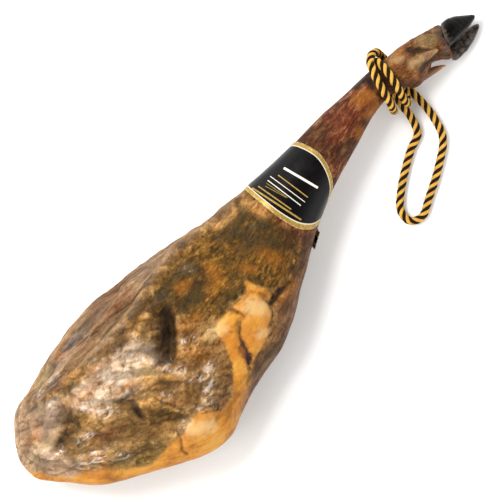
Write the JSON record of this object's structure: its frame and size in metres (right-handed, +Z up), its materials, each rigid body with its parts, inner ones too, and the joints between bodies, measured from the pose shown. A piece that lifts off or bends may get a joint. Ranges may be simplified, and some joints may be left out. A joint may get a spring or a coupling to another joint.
{
  "type": "cured ham",
  "caption": "Whole cured leg of ham with trotter and black hooves, lying on its skin side, with a paper band round the shank and a twisted hanging rope.",
  "frame": {"origin": "middle of the ham's outline in plan, on the surface it rests on, measured without the rope", "axes": "+X along the leg from the butt towards the hoof, +Z up, +Y towards the straight side of the shank"},
  "size_m": [0.83, 0.2481, 0.1383],
  "materials": {
    "cured_meat": "air-cured skin, fat and meat face, satin with oily patches",
    "black_horn": "black hoof horn, satin, scuffed",
    "tan_horn": "tan dewclaw horn and skin, satin",
    "band_paper": "gloss-coated black paper with a gold border",
    "rope_fibre": "twisted yellow and black synthetic strands"
  },
  "bodies": {
    "root": {"ham_leg": "cured_meat", "claw_upper": "black_horn", "claw_lower": "black_horn", "dewclaw_upper": "tan_horn", "dewclaw_lower": "tan_horn", "paper_band": "band_paper", "hanging_rope": "rope_fibre"}
  },
  "joints": []
}
